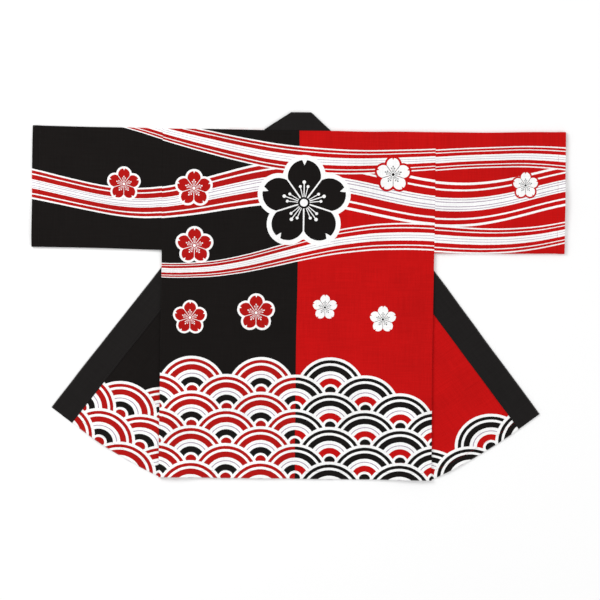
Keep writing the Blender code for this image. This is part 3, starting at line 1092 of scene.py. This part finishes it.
def cotton(name, group, colour, fade):
    """Dyed plain-weave cotton, with painted shade between its threads. The colour comes from the print's
    group or is plain; fade greys the inside.
    """
    material = bpy.data.materials.new(name)
    material.use_nodes = True
    tree = material.node_tree
    shader = tree.nodes["Principled BSDF"]
    place = tree.nodes.new("ShaderNodeAttribute")
    place.attribute_name = "cloth_place"
    split = tree.nodes.new("ShaderNodeSeparateXYZ")
    tree.links.new(place.outputs["Vector"], split.inputs[0])
    u, v = Field(tree, split.outputs[0]), Field(tree, split.outputs[1])

    # Threads of uneven thickness, along the cloth and across it.
    slubs = []
    for stretch in ((420.0, 16.0, 1.0), (14.0, 380.0, 1.0)):
        scale = tree.nodes.new("ShaderNodeVectorMath")
        scale.operation = "MULTIPLY"
        scale.inputs[1].default_value = stretch
        tree.links.new(place.outputs["Vector"], scale.inputs[0])
        slubs.append(Field(tree, noise_node(tree, scale.outputs[0], 1.0, 2.0).outputs["Fac"]))
    unevenness = (slubs[0] + slubs[1]) * 0.5

    # Where the dye took more or less, over a hand's breadth.
    cloudiness = Field(tree, noise_node(tree, place.outputs["Vector"], 9.0, 3.0).outputs["Fac"])
    weave = plain_weave(u, v)
    strength = (unevenness - 0.5) * DYE_BY_THREADS + (cloudiness - 0.5) * DYE_BY_CLOUDS
    # The weave's share is painted shade: lighter colour on the threads' tops, darker between them.
    strength = strength + weave * WEAVE_SHADE + DYE_BASE

    tone = tree.nodes.new("ShaderNodeVectorMath")
    tone.operation = "SCALE"
    if group:
        printed = tree.nodes.new("ShaderNodeGroup")
        printed.node_tree = group
        tree.links.new(place.outputs["Vector"], printed.inputs[0])
        tree.links.new(printed.outputs[0], tone.inputs[0])
    else:
        tone.inputs[0].default_value = colour
    tree.links.new(strength.socket, tone.inputs["Scale"])
    # The dye is worn unevenly along a fold: a printed panel's hem, or the collar's outer edge.
    from_fold = v if group else -u + COLLAR_WIDTH
    worn = (from_fold / -WORN_WIDTH + 1.0).larger(0.0).smaller(1.0) * cloudiness * slubs[0]
    final = paint(tree, worn * WORN_SHARE, WORN, tone.outputs[0])
    if fade:
        wash = tree.nodes.new("ShaderNodeMix")
        wash.data_type = "RGBA"
        wash.inputs[0].default_value = fade
        wash.inputs[7].default_value = INSIDE_GREY
        tree.links.new(final, wash.inputs[6])
        final = wash.outputs[2]
    tree.links.new(final, shader.inputs["Base Color"])

    height = weave * 0.8 + unevenness * 1.4
    bump = tree.nodes.new("ShaderNodeBump")
    bump.inputs["Strength"].default_value = 0.55
    bump.inputs["Distance"].default_value = 0.00022
    tree.links.new(height.socket, bump.inputs["Height"])
    tree.links.new(bump.outputs[0], shader.inputs["Normal"])
    roughness = unevenness * -0.35 + 1.02
    tree.links.new(roughness.socket, shader.inputs["Roughness"])
    shader.inputs["Specular IOR Level"].default_value = 0.09
    shader.inputs["Sheen Weight"].default_value = 0.04
    shader.inputs["Sheen Roughness"].default_value = 0.45
    return material


def thread_material(name, colour):
    """Mercerised sewing thread."""
    material = bpy.data.materials.new(name)
    material.use_nodes = True
    tree = material.node_tree
    shader = tree.nodes["Principled BSDF"]
    twist = tree.nodes.new("ShaderNodeTexNoise")
    twist.inputs["Scale"].default_value = 900.0
    ramp = tree.nodes.new("ShaderNodeMix")
    ramp.data_type = "RGBA"
    tree.links.new(twist.outputs["Fac"], ramp.inputs[0])
    ramp.inputs[6].default_value = (*[0.7 * c for c in colour], 1.0)
    ramp.inputs[7].default_value = (*[1.3 * c for c in colour], 1.0)
    tree.links.new(ramp.outputs[2], shader.inputs["Base Color"])
    shader.inputs["Roughness"].default_value = 0.55
    shader.inputs["Specular IOR Level"].default_value = 0.30
    return material


# The stage


def make_stage():
    """A plain pale floor, soft studio light, and the camera straight above, framed as the photo is."""
    bpy.ops.mesh.primitive_plane_add(size=FLOOR_SIZE, location=(0, 0, -FLOOR_DROP))
    floor = bpy.context.object
    floor.name = "floor"
    paper = bpy.data.materials.new("floor_paper")
    paper.use_nodes = True
    shader = paper.node_tree.nodes["Principled BSDF"]
    shader.inputs["Base Color"].default_value = (1.0, 1.0, 1.0, 1.0)
    shader.inputs["Roughness"].default_value = 0.9
    shader.inputs["Specular IOR Level"].default_value = 0.1
    floor.data.materials.append(paper)

    world = bpy.data.worlds.new("studio")
    bpy.context.scene.world = world
    world.use_nodes = True
    background = world.node_tree.nodes["Background"]
    background.inputs[0].default_value = (1.0, 1.0, 1.0, 1.0)
    background.inputs[1].default_value = STUDIO_LIGHT

    for name, place, size, power in LAMPS:
        lamp = bpy.data.lights.new(name, "AREA")
        lamp.shape = "DISK"
        lamp.size = size
        lamp.energy = power
        holder = bpy.data.objects.new(name, lamp)
        holder.location = place
        holder.rotation_euler = (-Vector(place)).to_track_quat("-Z", "Y").to_euler()
        bpy.context.scene.collection.objects.link(holder)

    camera = bpy.data.objects.new("camera", bpy.data.cameras.new("camera"))
    camera.data.lens = LENS
    camera.data.sensor_width = SENSOR
    distance = PHOTO_WIDTH * LENS / SENSOR
    camera.location = (PHOTO_CENTRE[0], SHOULDER_Y + PHOTO_CENTRE[1], distance)
    camera.rotation_euler = (0, 0, PHOTO_TILT)
    bpy.context.scene.collection.objects.link(camera)
    bpy.context.scene.camera = camera
    bpy.context.scene.view_settings.view_transform = "Standard"


# The coat


def make_coat():
    """Every panel with its sewing, on the frame."""
    print_nodes = print_group()
    printed = cotton("printed_cotton_outside", print_nodes, None, 0.0)
    wrong_side = cotton("printed_cotton_inside", print_nodes, None, INSIDE_FADE)
    plain = cotton("collar_cotton", None, COLLAR_BLACK_AND_SHEEN, 0.0)
    black_thread = thread_material("black_thread", BLACK_THREAD)
    red_thread = thread_material("red_thread", RED_THREAD)
    cloth = [printed, wrong_side]
    plain_cloth = [plain, plain]

    front_width = BODY_HALF - FRONT_EDGE
    # The bow of the hem takes a third of the drop off the front's area.
    front_area = front_width * (BODY_LENGTH + FRONT_DROP * 2 / 3)
    front_cut = {"flat": (front_width, BODY_LENGTH + FRONT_DROP), "area": front_area}
    sleeve_cut = {"flat": (2 * SLEEVE_DEPTH, SLEEVE_END - BODY_HALF)}

    fronts = [make_band(side, plain_cloth) for side in (-1, 1)]
    collar = join("collar_band", [*fronts, make_neck(plain_cloth)])
    rows = (
        # piece, node, slot, its sewing, its cut, what it lies on
        (make_back(cloth), "back", "printed_cotton", sew_back(black_thread),
         {"flat": (2 * BODY_HALF, BODY_LENGTH)}, ["front_left", "front_right"]),
        (make_front("front_panel_left", -1, cloth), "front_left", "black_cotton",
         sew_front("front_hem_stitches_left", -1, black_thread, 31), front_cut, ["floor"]),
        (make_front("front_panel_right", 1, cloth), "front_right", "red_cotton",
         sew_front("front_hem_stitches_right", 1, red_thread, 32), front_cut, ["floor"]),
        (make_sleeve("sleeve_tube_left", -1, cloth), "sleeve_left", "black_cotton",
         sew_sleeve("cuff_stitches_left", -1, black_thread, 41), sleeve_cut, ["floor"]),
        (make_sleeve("sleeve_tube_right", 1, cloth), "sleeve_right", "red_cotton",
         sew_sleeve("cuff_stitches_right", 1, red_thread, 42), sleeve_cut, ["floor"]),
        (collar, "collar", "collar_cotton", sew_collar(black_thread),
         {"flat": (COLLAR_WIDTH, 2 * (BAND_END + COLLAR_TO_NECK) + COLLAR_AT_NECK)}, ["floor"]),
    )
    for piece, node, slot, sewing, cut, under in rows:
        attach(piece, "root")
        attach(sewing, "root")
        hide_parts(node)


make_stage()
make_coat()
